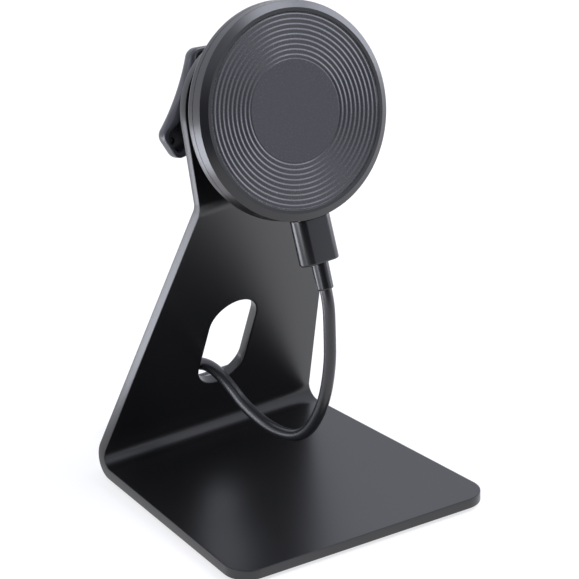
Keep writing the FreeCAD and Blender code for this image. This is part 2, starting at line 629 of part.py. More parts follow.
def cord_tube(points, name):
    """Round tube along straight runs joined by tangent arcs, each as large as its runs allow."""
    edges, at = [], points[0]
    for before, corner, after in zip(points, points[1:], points[2:]):
        back, ahead = before - corner, after - corner
        shorter = min(back.Length, ahead.Length)
        back.normalize()
        ahead.normalize()
        half_turn = (math.pi - back.getAngle(ahead)) / 2
        reach = BEND_SHARE * shorter
        radius = reach / math.tan(half_turn)
        start, stop = corner + back * reach, corner + ahead * reach
        middle = back + ahead
        middle.normalize()
        inside = corner + middle * (radius / math.cos(half_turn) - radius)
        edges.append(Part.LineSegment(at, start).toShape())
        edges.append(Part.Arc(start, inside, stop).toShape())
        print(f"{name}: turn {math.degrees(2 * half_turn):.0f} degrees, radius {radius:.1f}")
        at = stop
    edges.append(Part.LineSegment(at, points[-1]).toShape())
    path = Part.Wire(edges)
    section = Part.Wire(Part.Circle(points[0], points[1] - points[0], CABLE / 2).toShape())
    tube = path.makePipeShell([section], True, True)
    plain = path.Length * math.pi * CABLE ** 2 / 4
    print(f"{name}: length {path.Length:.1f}, volume {tube.Volume:.1f} against {plain:.1f}")
    return tube


def cable_run():
    exit_points = [AXIS_PLACE.multVec(V(0, CABLE_TOP - lead, PLUG_LEVEL)) for lead in (0, CABLE_LEAD)]
    return cord_tube(exit_points + [V(*p) for p in CABLE_ROUTE], "cable_run")


def racetrack(half_width):
    """Closed outline of the hank at this distance from its middle line."""
    wire = obround_wire(HANK_RUN + 2 * half_width, 2 * half_width)
    wire.rotate(V(), V(0, 0, 1), 90)
    wire.translate(V(HANK_X, HANK_Y, 0))
    return wire


def cable_hank():
    """Outer shape of the wound turns: a long ring, one cable diameter high for each layer."""
    outside = prism(racetrack(HANK_OUTER), HANK_BOTTOM, HANK_TOP)
    ring = outside.cut(prism(racetrack(HANK_INNER), HANK_BOTTOM, HANK_TOP))
    level = [e for e in ring.Edges if e.BoundBox.ZLength < 1e-6]
    return ring.makeFillet(HANK_ROUND, level)


def hank_tie():
    """Flat strap round both runs of the hank."""
    height, width, t = HANK_TOP - HANK_BOTTOM, 2 * HANK_OUTER, TIE_THICKNESS
    corner = V(TIE_X - TIE_WIDTH / 2, HANK_Y - HANK_OUTER, HANK_BOTTOM)
    hank = Part.makeBox(TIE_WIDTH, width, height, corner)
    band = Part.makeBox(TIE_WIDTH, width + 2 * t, height + 2 * t, corner - V(0, t, t))
    return band.cut(hank)


def far_place():
    """Frame of the far plug: it lies flat on the hank, with its tongue towards +X."""
    turn = FreeCAD.Rotation(V(0, 0, 1), -90)
    return FreeCAD.Placement(V(FAR_PLUG_X - CABLE_TOP, FAR_PLUG_Y, FAR_PLUG_Z - PLUG_LEVEL), turn)


def cable_tail():
    exit_points = [far_place().multVec(V(0, CABLE_TOP - lead, PLUG_LEVEL)) for lead in (CABLE_LEAD, 0)]
    return cord_tube([V(*p) for p in TAIL_START] + exit_points, "cable_tail")


PIECES = {
    "stand_frame": stand_frame,
    "base_pad": base_pad,
    "mount_head": mount_head,
    "mount_screws": mount_screws,
    "clamp_stud": clamp_stud,
    "thrust_washer": thrust_washer,
    "clamp_knob": clamp_knob,
    "knob_insert": knob_insert,
    "rear_housing": rear_housing,
    "front_bezel": front_bezel,
    "face_pad": face_pad,
    "circuit_board": circuit_board,
    "ferrite_shield": ferrite_shield,
    "charging_coil": charging_coil,
    "magnet_ring": magnet_ring,
    "usb_socket": usb_socket,
    "plug_shell": lambda: moved(plug_shell_local(), AXIS_PLACE),
    "plug_body": lambda: moved(plug_body_local(), AXIS_PLACE),
    "strain_relief": lambda: moved(relief_local(), AXIS_PLACE),
    "cable_run": cable_run,
    "cable_hank": cable_hank,
    "hank_tie": hank_tie,
    "cable_tail": cable_tail,
    "far_plug_shell": lambda: moved(plug_shell_local(), far_place()),
    "far_plug_body": lambda: moved(plug_body_local(), far_place()),
    "far_strain_relief": lambda: moved(relief_local(), far_place()),
}


def main():
    os.makedirs("parts", exist_ok=True)
    for name, make in PIECES.items():
        shape = make()
        shape.exportStep(f"parts/{name}.step")
        box = shape.BoundBox
        print(f"{name}: valid {shape.isValid()}, solids {len(shape.Solids)}, volume {shape.Volume:.1f}, "
              f"size {box.XLength:.1f} {box.YLength:.1f} {box.ZLength:.1f}")


main()
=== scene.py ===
"""Charging stand: finished surfaces, lead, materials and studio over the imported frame, in metres."""

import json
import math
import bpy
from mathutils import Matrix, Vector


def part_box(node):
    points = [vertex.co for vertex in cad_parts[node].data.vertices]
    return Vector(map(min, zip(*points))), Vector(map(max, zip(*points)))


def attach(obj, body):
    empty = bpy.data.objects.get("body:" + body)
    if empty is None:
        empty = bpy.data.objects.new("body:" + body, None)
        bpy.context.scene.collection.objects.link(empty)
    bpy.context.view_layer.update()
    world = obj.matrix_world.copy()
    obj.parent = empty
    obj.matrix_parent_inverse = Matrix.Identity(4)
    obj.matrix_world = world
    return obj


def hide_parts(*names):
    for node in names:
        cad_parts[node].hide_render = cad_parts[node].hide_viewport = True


bl_info = {
    "name": "Charging stand",
    "version": (1, 0, 0),
    "blender": (4, 5, 0),
    "location": "View3D > Sidebar > Charging stand",
    "description": "Builds the bent sheet, puck, lead, finishes and studio of a wireless charging stand",
    "category": "Object",
}

import bmesh
import bpy
import numpy as np
from bpy.props import FloatProperty, FloatVectorProperty, PointerProperty
from mathutils import Matrix, Quaternion, Vector

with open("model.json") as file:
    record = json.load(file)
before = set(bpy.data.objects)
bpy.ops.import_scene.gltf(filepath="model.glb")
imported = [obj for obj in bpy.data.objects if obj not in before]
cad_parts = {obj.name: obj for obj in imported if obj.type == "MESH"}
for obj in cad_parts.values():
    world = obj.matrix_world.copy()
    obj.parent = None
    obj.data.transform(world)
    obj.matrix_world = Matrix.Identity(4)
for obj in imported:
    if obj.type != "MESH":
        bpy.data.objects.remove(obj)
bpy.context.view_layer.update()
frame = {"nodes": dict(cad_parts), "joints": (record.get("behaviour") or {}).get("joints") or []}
NODES = frame["nodes"]
KNOB_JOINT = frame["joints"][0]
DESK_TO_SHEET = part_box("base_pad")[1].z
MM = 0.001
# Roundings of edges: hardly seen, small, and plain
FINE_EDGE, SMALL_EDGE, SOFT_EDGE = 0.05 * MM, 0.1 * MM, 0.3 * MM
# Points closer than this are one, and a divisor is never less than this
WELD, TINY = 2e-6, 1e-12


def linear(hex_colour):
    """Linear RGB of an sRGB hex colour: each channel is undone from the sRGB curve."""
    channels = [int(hex_colour[i:i + 2], 16) / 255 for i in (1, 3, 5)]
    return tuple(c / 12.92 if c <= 0.04045 else ((c + 0.055) / 1.055) ** 2.4 for c in channels)


def length(name, millimetres, description):
    """Length property with a default in millimetres."""
    return FloatProperty(name=name, description=description, default=millimetres * MM, unit="LENGTH",
                         precision=5)


def angle(name, degrees, description):
    """Angle property with a default in degrees."""
    return FloatProperty(name=name, description=description, default=math.radians(degrees), subtype="ANGLE")


def colour(name, hex_colour, description):
    """Colour property with a default in sRGB hex."""
    return FloatVectorProperty(name=name, description=description, default=linear(hex_colour),
                               subtype="COLOR", size=3, min=0.0, max=1.0)


class SheetSizes(bpy.types.PropertyGroup):
    """Sizes of the bent sheet."""
    thickness: length("Thickness", 3.0, "Aluminium sheet")
    base_front: length("Front width", 87.0, "Width of the base at its front edge")
    base_rear: length("Rear width", 71.4, "Width where base and back plate would meet")
    base_depth: length("Base depth", 77.5, "Front edge to that line")
    corner: length("Corner", 7.0, "Radius of the base's front corners")
    back_lean: angle("Back lean", 70.8, "Angle between base and back plate")
    back_length: length("Back length", 92.6, "Up the back plate to the knee")
    rear_bend: length("Rear bend", 3.4, "Inside radius of the bend behind the base")
    knee_width: length("Knee width", 45.4, "Width at the knee")
    knee_bend: length("Knee bend", 3.0, "Inside radius of the bend at the knee")
    puck_up_neck: length("Axis height", 23.4, "Knee to the puck's axis, up the neck")
    head: length("Head", 21.0, "Radius of the neck's round top")
    slot_width: length("Slot width", 15.7, "Cable slot in the back plate")
    slot_length: length("Slot length", 31.3, "Cable slot, end to end")
    slot_middle: length("Slot middle", 34.25, "Height of the slot's middle up the back plate")
    edge: length("Edge", 0.25, "Rounding of every cut edge")


class PuckSizes(bpy.types.PropertyGroup):
    """Sizes of the charging puck, levels being measured forward from the neck."""
    radius: length("Radius", 30.75, "Outer radius")
    back: length("Back", 16.2, "Level of the back")
    front: length("Front", 23.8, "Level of the flat rim")
    seam: length("Seam", 19.0, "Level of the joint between the two halves")
    wall: length("Wall", 1.8, "Wall of both halves")
    edge: length("Edge", 0.15, "Rounding of the rim's edges")
    seam_break: length("Seam break", 0.07, "Chamfer on each side of the seam")
    back_round: length("Back edge", 1.0, "Rounding of the back edge")
    chamfer_width: length("Chamfer width", 2.1, "Sloped rim round the face, across")
    chamfer_depth: length("Chamfer depth", 1.3, "Sloped rim round the face, in depth")
    lip: length("Lip", 1.1, "Flat rim round the face pad")
    pad: length("Pad", 1.4, "Thickness of the face pad at a crest")
    pad_gap: length("Pad gap", 0.04, "Face pad to the rim round it")
    pad_seat: length("Pad seat", 2.0, "Depth of the rim's wall behind its flat")
    seat_fall: length("Seat fall", 0.6, "Slope from there to the wall")
    recess: length("Recess", 0.1, "Ring crests below the rim")
    ring_pitch: length("Ring pitch", 1.41, "Distance between neighbouring rings")
    ring_first: length("First ring", 15.3, "Radius of the innermost ring's crest")
    ring_height: length("Ring height", 0.2, "Crest above the groove")
    ring_round: length("Ring rounding", 0.2, "Rounding where the rings meet the flats")


class LeadSizes(bpy.types.PropertyGroup):
    """Sizes of the lead and its plugs."""
    cable: length("Cable", 3.5, "Diameter of the cable")
    grip_width: length("Grip width", 12.0, "Moulded grip, across")
    grip_height: length("Grip height", 6.4, "Moulded grip, thickness")
    grip_length: length("Grip length", 12.65, "Moulded grip, along the cable")
    grip_corner: length("Grip corner", 3.1, "Corner radius of the grip's section")
    grip_round: length("Grip rounding", 0.6, "Softened edge at the cable end")
    grip_top: length("Grip top", 0.2, "Softened edge at the puck")
    grip_hollow: length("Grip hollow", 2.0, "Depth over which the near grip takes up the puck's curve")
    relief_length: length("Relief length", 7.7, "Sleeve below the grip")
    relief_root: length("Relief root", 4.9, "Diameter at the grip")
    relief_tip: length("Relief tip", 4.7, "Diameter at the cable")
    relief_round: length("Relief rounding", 0.4, "Softened edge at the cable")
    port_level: length("Port level", 2.5, "Puck's back to the middle of the plug")
    plug_gap: length("Plug gap", 0.2, "Grip to the puck's rim")
    fold: length("Fold", 8.75, "Radius of the hank's folds")
    lead_out: length("Lead out", 4.0, "Straight cable out of each sleeve")
    strap: length("Strap", 0.5, "Thickness of the strap round the hank")
    strap_corner: length("Strap corner", 2.0, "Outer radius of the strap's corners")


class KnobSizes(bpy.types.PropertyGroup):
    """Sizes of the clamp behind the neck, levels being measured forward from the neck."""
    front: length("Front", -4.4, "Level of the hub's end at the washer")
    rim: length("Rim", -19.0, "Level of the lobes' rim")
    back: length("Back", -23.8, "Level of the back")
    floor: length("Floor", 1.4, "Thickness behind the pockets")
    bore: length("Bore", 5.5, "Radius of the brass sleeve")
    bore_end: length("Bore end", -18.2, "Level where the bore ends")
    hub: length("Hub", 7.5, "Radius of the hub at the washer")
    skirt: length("Skirt", 10.6, "Radius of the hub where it runs into the lobes")
    lobe_angle: angle("Lobe angle", 83.0, "Direction of the first lobe, seen from the front")
    reach: length("Reach", 17.6, "Axis to the lobes' flat ends")
    waist: length("Waist", 12.5, "Axis to the sides between lobes")
    hollow: length("Hollow", 1.4, "Depth of the hollow sides")
    corner: length("Corner", 3.2, "Radius of the lobes' corners")
    wall: length("Wall", 1.2, "Wall round the pockets")
    pocket_hollow: length("Pocket hollow", 4.2, "Depth of the pockets' hollow sides")
    edge: length("Back edge", 2.4, "Rounding of the back")
    rim_round: length("Rim rounding", 0.5, "Rounding of the rim")
    pin_hole: length("Pin hole", 2.2, "Diameter of the blind hole in each lobe")
    pin_depth: length("Pin depth", 0.8, "Depth of that hole")
    pin_circle: length("Pin circle", 14.4, "Axis to that hole")
    washer_bore: length("Washer bore", 4.05, "Radius of the washer's hole")
    washer_radius: length("Washer radius", 14.5, "Radius of the washer")
    washer_gap: length("Washer gap", 0.2, "Knob to washer")
    washer_thick: length("Washer", 1.2, "Thickness of the washer")


class Finishes(bpy.types.PropertyGroup):
    """Colours of the finishes, each named as its material."""
    anodised_aluminium: colour("Sheet", "#09090a", "Black dye in the oxide layer")
    moulded_polycarbonate: colour("Puck shell", "#121214", "Dark moulding")
    face_silicone: colour("Face", "#38383b", "Ringed face")
    pad_silicone: colour("Pad", "#1c1c1e", "Sheet under the base")
    glass_filled_nylon: colour("Clamp", "#2c2c30", "Knob and mount")
    extruded_jacket: colour("Jacket", "#161618", "Cable")
    overmoulded_elastomer: colour("Grips", "#121214", "Grip and sleeve of each plug")
    plated_steel: colour("Steel", "#b4b6b9", "Stud, washer, screws and magnets")
    drawn_nickel: colour("Nickel", "#c3c1bc", "Plug and socket sleeves")
    turned_brass: colour("Brass", "#c9a45c", "Threaded sleeve")
    enamelled_copper: colour("Copper", "#b8703f", "Winding")
    sintered_ferrite: colour("Ferrite", "#4a4a4c", "Shield behind the winding")
    solder_mask: colour("Board", "#1e5b3a", "Circuit board")
    woven_strap: colour("Strap", "#222225", "Tie round the hank")


class StudioSettings(bpy.types.PropertyGroup):
    """Camera and light."""
    azimuth: angle("Azimuth", -35.52, "Camera's turn about the stand")
    elevation: angle("Elevation", 27.33, "Camera's height angle")
    scale: FloatProperty(name="Scale", description="Photo pixels to the metre at the target", default=3600.0)
    focal: FloatProperty(name="Focal length", description="Focal length in photo pixels", default=24000.0)
    target: FloatVectorProperty(name="Target", description="Point in the middle of the picture",
                                subtype="XYZ", unit="LENGTH", default=(0.0, -0.00222, 0.0651))


GROUPS = {"sheet": SheetSizes, "puck": PuckSizes, "knob": KnobSizes, "lead": LeadSizes, "finishes": Finishes,
          "studio": StudioSettings}


def settings(context, group):
    """The scene's values of one group of GROUPS."""
    return getattr(context.scene, "stand_" + group)


def axis_place():
    """Frame of the puck's axis: X across, Y up the neck, Z forward, from the knob's joint."""
    forward = Vector(KNOB_JOINT["axis"])
    across = Vector((1, 0, 0))
    up = forward.cross(across)
    turn = Matrix((across, up, forward)).transposed().to_4x4()
    return Matrix.Translation(KNOB_JOINT["pos_m"]) @ turn


def placed(points, matrix):
    """Points of shape (..., 3) carried by a 4 by 4 matrix."""
    m = np.array(matrix)
    return points @ m[:3, :3].T + m[:3, 3]


def grid_faces(rows, columns, start, closed, keep):
    """Quads of a grid numbered row by row; closed joins the last column to the first, keep masks cells."""
    index = start + np.arange(rows * columns).reshape(rows, columns)
    if closed:
        index = np.hstack([index, index[:, :1]])
    quads = np.stack([index[:-1, :-1], index[1:, :-1], index[1:, 1:], index[:-1, 1:]], axis=-1)
    return quads[keep] if keep is not None else quads.reshape(-1, 4)


def surface(name, grids):
    """One smooth mesh from grids, each (points, closed, keep), welded along their shared edges and poles."""
    points, faces, start = [], [], 0
    for grid, closed, keep in grids:
        rows, columns = grid.shape[:2]
        points.append(grid.reshape(-1, 3))
        faces.append(grid_faces(rows, columns, start, closed, keep))
        start += rows * columns
    mesh = bpy.data.meshes.new(name)
    mesh.from_pydata(np.concatenate(points), [], np.concatenate(faces))
    shape = bmesh.new()
    shape.from_mesh(mesh)
    bmesh.ops.remove_doubles(shape, verts=shape.verts, dist=WELD)
    bmesh.ops.recalc_face_normals(shape, faces=shape.faces)
    shape.to_mesh(mesh)
    shape.free()
    mesh.shade_smooth()
    piece = bpy.data.objects.new(name, mesh)
    bpy.context.scene.collection.objects.link(piece)
    return piece


def seat(piece, body, slot, material, *nodes):
    """Gives a new piece its body and finish, and lets it stand for the nodes; the slot argument is not used.
    """
    piece.data.materials.append(material)
    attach(piece, body)
    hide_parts(*nodes)


def quarter_round(steps):
    """One less the sine and one less the cosine of angles from 0 to 90 degrees: a rounded edge's unit arc."""
    turn = np.linspace(0, math.pi / 2, steps)
    return np.stack([1 - np.sin(turn), 1 - np.cos(turn)], axis=-1)


def plane_turn(way):
    """Matrix that turns plane points, given as rows, by an angle."""
    return np.array([[math.cos(way), math.sin(way)], [-math.sin(way), math.cos(way)]])


def rounded_profile(points, radii, steps=6, support=SMALL_EDGE):
    """Corner points in a plane, each corner replaced by an arc of its radius; points near the arc's ends keep
    the flats beside it flat."""
    points = np.asarray(points, float)
    out = []
    for i, (corner, radius) in enumerate(zip(points, radii)):
        if not radius:
            out.append(corner)
            continue
        back = points[i - 1] - corner
        ahead = points[(i + 1) % len(points)] - corner
        back, ahead = back / np.hypot(*back), ahead / np.hypot(*ahead)
        half = math.acos(np.clip(back @ ahead, -1, 1)) / 2
        middle = (back + ahead) / np.hypot(*(back + ahead))
        centre = corner + middle * radius / math.sin(half)
        reach = radius / math.tan(half)
        start, stop = corner + back * reach - centre, corner + ahead * reach - centre
        sweep = math.pi - 2 * half
        share = np.linspace(0, 1, steps + 1)[:, None]
        arc = centre + (np.sin((1 - share) * sweep) * start + np.sin(share * sweep) * stop) / math.sin(sweep)
        out.extend([corner + back * (reach + support), *arc, corner + ahead * (reach + support)])
    return np.array(out)


def turned(profile, around, matrix, closed):
    """Surface of revolution about local Z: the profile's radius and level, carried round in equal steps."""
    turn = np.linspace(0, 2 * math.pi, around, endpoint=False)[None, :]
    radius, level = profile[:, :1], profile[:, 1:]
    if closed:
        radius, level = np.vstack([radius, radius[:1]]), np.vstack([level, level[:1]])
    points = np.stack([radius * np.cos(turn), radius * np.sin(turn), level + 0 * turn], axis=-1)
    return placed(points, matrix), True, None


def rounded_rectangle(width, height, radius, around=96):
    """Closed outline: a circle of the corner radius, its four quarters moved out to the corners' centres."""
    turn = (np.arange(around) + 0.5) * 2 * math.pi / around
    corner = np.stack([np.cos(turn), np.sin(turn)], axis=-1)
    return corner * radius + np.sign(corner) * np.array([width / 2 - radius, height / 2 - radius])


def bar(width, height, corner, stations):
    """Bar along local Y: a rounded rectangle at each (level, inset) station; a large inset closes it."""
    rows = []
    for level, inset in stations:
        shrink = min(inset, min(width, height) / 2)
        section = rounded_rectangle(width - 2 * shrink, height - 2 * shrink, max(corner - shrink, 0.0))
        rows.append(np.stack([section[:, 0], np.full(len(section), level), section[:, 1]], axis=-1))
    return np.array(rows)


class Blank:
    """The sheet before bending: s runs up its middle line from the front edge, x across, t into its back."""

    def __init__(self, sizes, neck_lean):
        self.sizes = z = sizes
        rear_turn = math.pi - z.back_lean
        knee_turn = math.pi - z.back_lean - neck_lean
        outer_knee = z.knee_bend + z.thickness
        rear_set = z.rear_bend * math.tan(rear_turn / 2)
        knee_set = outer_knee * math.tan(knee_turn / 2)
        neck = z.puck_up_neck + z.head - knee_set
        self.lengths = [z.base_depth - rear_set, z.rear_bend * rear_turn, z.back_length - rear_set - knee_set,
                        outer_knee * knee_turn, neck]
        self.bends = [0, 1 / z.rear_bend, 0, -1 / outer_knee, 0]
        self.starts = np.concatenate([[0], np.cumsum(self.lengths)])
        self.slot_centre = self.starts[2] + z.slot_middle - rear_set
        self.head_centre = self.starts[4] + z.puck_up_neck - knee_set
        reach = math.hypot(z.knee_width / 2, z.puck_up_neck)
        self.head_lean = math.acos(z.head / reach) - math.atan2(z.puck_up_neck, z.knee_width / 2)
        taper = (z.base_rear - z.base_front) / 2 / z.base_depth
        back_taper = (z.knee_width - z.base_rear) / 2 / z.back_length
        self.side = [z.base_front / 2, z.base_front / 2 + taper * (z.base_depth - rear_set),
                     z.base_rear / 2 + back_taper * rear_set, z.knee_width / 2 - back_taper * knee_set,
                     z.knee_width / 2 - math.tan(self.head_lean) * knee_set,
                     z.knee_width / 2 - math.tan(self.head_lean) * (knee_set + neck)]
        self.corner_lean = math.atan(-taper)
        self.corner_centre = z.base_front / 2 + taper * z.corner - z.corner * math.hypot(1, taper)

    def half_width(self, s, inset):
        """Half the blank's width: straight tapers between the bends, arcs at front corner and head."""
        z = self.sizes
        width = np.interp(s, self.starts, self.side) - inset
        corner, head = z.corner - inset, z.head - inset
        in_corner = s < z.corner + corner * math.sin(self.corner_lean)
        in_head = s > self.head_centre + head * math.sin(self.head_lean)
        front = self.corner_centre + np.sqrt(np.maximum(corner ** 2 - (s - z.corner) ** 2, 0))
        top = np.sqrt(np.maximum(head ** 2 - (s - self.head_centre) ** 2, 0))
        return np.where(in_corner, front, np.where(in_head, top, width))

    def bent(self, s, x, t):
        """Place of blank points after bending: each stretch runs on from the last one's end, straight or on a
        circle, and t is measured along its normal."""
        y, z = np.zeros_like(s), np.zeros_like(s)
        lean = np.zeros_like(s)
        at, heading = np.array([-self.sizes.base_depth / 2, DESK_TO_SHEET + self.sizes.thickness]), 0.0
        for start, run, bend in zip(self.starts, self.lengths, self.bends):
            here = s >= start if start else np.ones_like(s, bool)
            way = np.where(here, s - start, 0.0)
            turn = heading + bend * way
            sine, cosine = math.sin(heading), math.cos(heading)
            last = heading + bend * run
            if bend:
                step = (np.sin(turn) - sine) / bend, (cosine - np.cos(turn)) / bend
                end = np.array([math.sin(last) - sine, cosine - math.cos(last)]) / bend
            else:
                step = way * cosine, way * sine
                end = run * np.array([cosine, sine])
            y, z = np.where(here, at[0] + step[0], y), np.where(here, at[1] + step[1], z)
            lean = np.where(here, turn, lean)
            at, heading = at + end, last
        return np.stack([x, y + t * np.sin(lean), z - t * np.cos(lean)], axis=-1)


def slot_radius(turn, half_width, half_length):
    """Distance from the slot's middle to its outline in each direction: flat side, or half circle beyond."""
    across, along = np.abs(np.cos(turn)), np.abs(np.sin(turn))
    flat = half_width / np.maximum(across, TINY)
    straight = half_length - half_width
    round_end = straight * along + np.sqrt(np.maximum(half_width ** 2 - (straight * across) ** 2, 0))
    return np.where(flat * along <= straight, flat, round_end)


def edge_section(edge, thickness, steps=5):
    """Inset and depth along a cut edge, from the front face round to the back face, both rims rounded."""
    rim = edge * quarter_round(steps)
    return np.vstack([rim, np.stack([rim[::-1, 0], thickness - rim[::-1, 1]], axis=-1)])


# Rows of the sheet's grid in each stretch of the blank, from the front edge up
CORNER_ROWS, BASE_ROWS, REAR_ROWS, SLOT_ROWS, KNEE_ROWS, NECK_ROWS, HEAD_ROWS = 12, 8, 33, 29, 21, 6, 24
# Columns of the block of cells round the slot and of each side, and the block's share of the width
BLOCK_COLUMNS, SIDE_COLUMNS, BLOCK_SHARE = 21, 6, 0.45
# Reach of the block past the slot's ends, collar round the slot, and row that keeps a flat flat near its edge
BLOCK_MARGIN, SLOT_COLLAR, FLAT_ROW = 6 * MM, 2.2 * MM, 0.3 * MM
# Share of the half width at which that row lies at the head's top, where the width runs out
FLAT_SHARE = 0.9


def sheet_rows(blank, inset):
    """Rows up the blank: close together in corner, bends and head, one at each end of the slot's block."""
    z, s = blank.sizes, blank.starts
    corner_turn = np.linspace(0, math.pi / 2 + blank.corner_lean, CORNER_ROWS)
    corner = z.corner - (z.corner - inset) * np.cos(corner_turn)
    head_turn = np.linspace(blank.head_lean, math.pi / 2, HEAD_ROWS)
    head = blank.head_centre + (z.head - inset) * np.sin(head_turn)
    reach = z.slot_length / 2 + BLOCK_MARGIN
    low, high = blank.slot_centre - reach, blank.slot_centre + reach
    base = np.linspace(corner[-1], s[1] - MM, BASE_ROWS)[1:]
    rear = np.linspace(s[1], s[2], REAR_ROWS)
    slot = np.linspace(low, high, SLOT_ROWS)
    knee = np.linspace(s[3], s[4], KNEE_ROWS)
    neck = np.linspace(s[4] + MM, head[0], NECK_ROWS)[:-1]
    rows = np.concatenate([corner, base, rear, [s[2] + MM], slot, [s[3] - MM], knee, neck, head])
    first = int(np.argmin(np.abs(rows - low)))
    return rows, first, first + len(slot) - 1


def bent_sheet(sizes, neck_lean):
    """Surface of the bent sheet: its two faces with the slot left open, the slot's wall and the cut edge."""
    blank = Blank(sizes, neck_lean)
    edge, thick = sizes.edge, sizes.thickness
    rows, low, high = sheet_rows(blank, edge)
    half = blank.half_width(rows, edge)[:, None]
    block = np.linspace(-BLOCK_SHARE, BLOCK_SHARE, BLOCK_COLUMNS)
    outer = np.linspace(BLOCK_SHARE, 1, SIDE_COLUMNS)[1:]
    spread = np.concatenate([-outer[::-1], block, outer])[None, :]
    inner = np.maximum(half - FLAT_ROW, FLAT_SHARE * half)
    x = np.hstack([-half, inner * spread, half])
    s = np.repeat(rows[:, None], x.shape[1], axis=1)
    left, right = len(outer) + 1, len(outer) + len(block)
    keep = np.ones((x.shape[0] - 1, x.shape[1] - 1), bool)
    keep[low:high, left:right] = False

    def loop(a):
        return np.concatenate([a[low, left:right], a[low:high, right], a[high, right:left:-1],
                               a[high:low:-1, left]])

    ring_x, ring_s = loop(x), loop(s)
    turn = np.arctan2(ring_s - blank.slot_centre, ring_x)
    half_slot, half_long = sizes.slot_width / 2, sizes.slot_length / 2
    wall = edge_section(edge, thick)
    collar = [SLOT_COLLAR + edge, FLAT_ROW + edge]
    grow = [*collar, *wall[:, 0], *reversed(collar)]
    depth = np.array([0, 0, 0, *wall[:, 1], thick, thick, thick])[:, None] + 0 * turn
    radius = np.array([slot_radius(turn, half_slot + g, half_long + g) for g in grow])
    hole_x = np.vstack([ring_x, radius * np.cos(turn), ring_x])
    hole_s = np.vstack([ring_s, blank.slot_centre + radius * np.sin(turn), ring_s])

    rim_x = np.concatenate([x[0, :-1], x[:-1, -1], x[-1:, 0], x[:0:-1, 0]])
    rim_s = np.concatenate([s[0, :-1], s[:-1, -1], s[-1:, 0], s[:0:-1, 0]])
    ahead = np.stack([np.roll(rim_x, -1) - rim_x, np.roll(rim_s, -1) - rim_s])
    ahead /= np.maximum(np.hypot(*ahead), TINY)
    along = ahead + np.roll(ahead, 1, axis=1)
    along /= np.hypot(*along)
    out = edge - wall[:, :1]
    edge_x, edge_s = rim_x + out * along[1], rim_s - out * along[0]
    edge_t = wall[:, 1:] + 0 * rim_x
    return [(blank.bent(s, x, 0 * x), False, keep), (blank.bent(s, x, 0 * x + thick), False, keep),
            (blank.bent(hole_s, hole_x, depth), True, None), (blank.bent(edge_s, edge_x, edge_t), True, None)]


def add_node(tree, kind, inputs=None, **values):
    """Adds a node with its settings; inputs take a value, or a socket to link from."""
    made = tree.nodes.new(kind)
    for name, value in values.items():
        setattr(made, name, value)
    for name, value in (inputs or {}).items():
        if isinstance(value, bpy.types.NodeSocket):
            tree.links.new(value, made.inputs[name])
        else:
            made.inputs[name].default_value = value
    return made


def new_material(name):
    """Empty node material with its output and shader, linked."""
    material = bpy.data.materials.new(name)
    material.use_nodes = True
    tree = material.node_tree
    tree.nodes.clear()
    shader = add_node(tree, "ShaderNodeBsdfPrincipled")
    add_node(tree, "ShaderNodeOutputMaterial", {"Surface": shader.outputs[0]})
    return material, tree, shader


# For each finish: spread of colour, roughness and its spread, grain and its depth in mm, metallic, IOR
FINISH_VALUES = {
    # Blasted and dyed black: the clear oxide gives a soft sheen over black
    "anodised_aluminium": (0.12, 0.31, 0.03, 0.35, 0.004, 0.0, 1.65),
    # Fine matt moulding: a tighter sheen that follows the round rim
    "moulded_polycarbonate": (0.08, 0.3, 0.03, 0.25, 0.002, 0.0, 1.6),
    # Moulded silicone: grey under a gloss that picks out each ring
    "face_silicone": (0.05, 0.27, 0.02, 0.4, 0.0003, 0.0, 1.5),
    # Soft sheet: dull and dark
    "pad_silicone": (0.06, 0.6, 0.04, 0.4, 0.003, 0.0, 1.43),
    # Dark grey with a faint orange-peel skin
    "glass_filled_nylon": (0.1, 0.33, 0.04, 0.6, 0.004, 0.0, 1.6),
    # Satin black with a broad soft light along it
    "extruded_jacket": (0.05, 0.31, 0.03, 0.5, 0.0006, 0.0, 1.6),
    # Semi-gloss black, bright along its sides
    "overmoulded_elastomer": (0.05, 0.25, 0.02, 0.5, 0.0004, 0.0, 1.55),
    # Cool grey metal with faint marks
    "plated_steel": (0.05, 0.32, 0.06, 0.8, 0.002, 1.0, None),
    # Brighter and smoother than the steel
    "drawn_nickel": (0.03, 0.22, 0.04, 1.0, 0.001, 1.0, None),
    # Warm yellow metal
    "turned_brass": (0.06, 0.3, 0.05, 0.6, 0.002, 1.0, None),
    # Reddish metal under clear enamel
    "enamelled_copper": (0.08, 0.3, 0.05, 0.5, 0.003, 1.0, None),
    # Dull dark grey
    "sintered_ferrite": (0.15, 0.6, 0.06, 0.4, 0.006, 0.0, 1.5),
    # Green lacquer
    "solder_mask": (0.1, 0.35, 0.05, 1.5, 0.003, 0.0, 1.5),
    # Weave drawn about twice as coarse as real, so that it shows
    "woven_strap": (0.35, 0.85, 0.05, 0.5, 0.06, 0.0, 1.5),
}
# Sockets of a colour mix: its two colours and its result
FIRST_COLOUR, SECOND_COLOUR, MIXED = 6, 7, 2


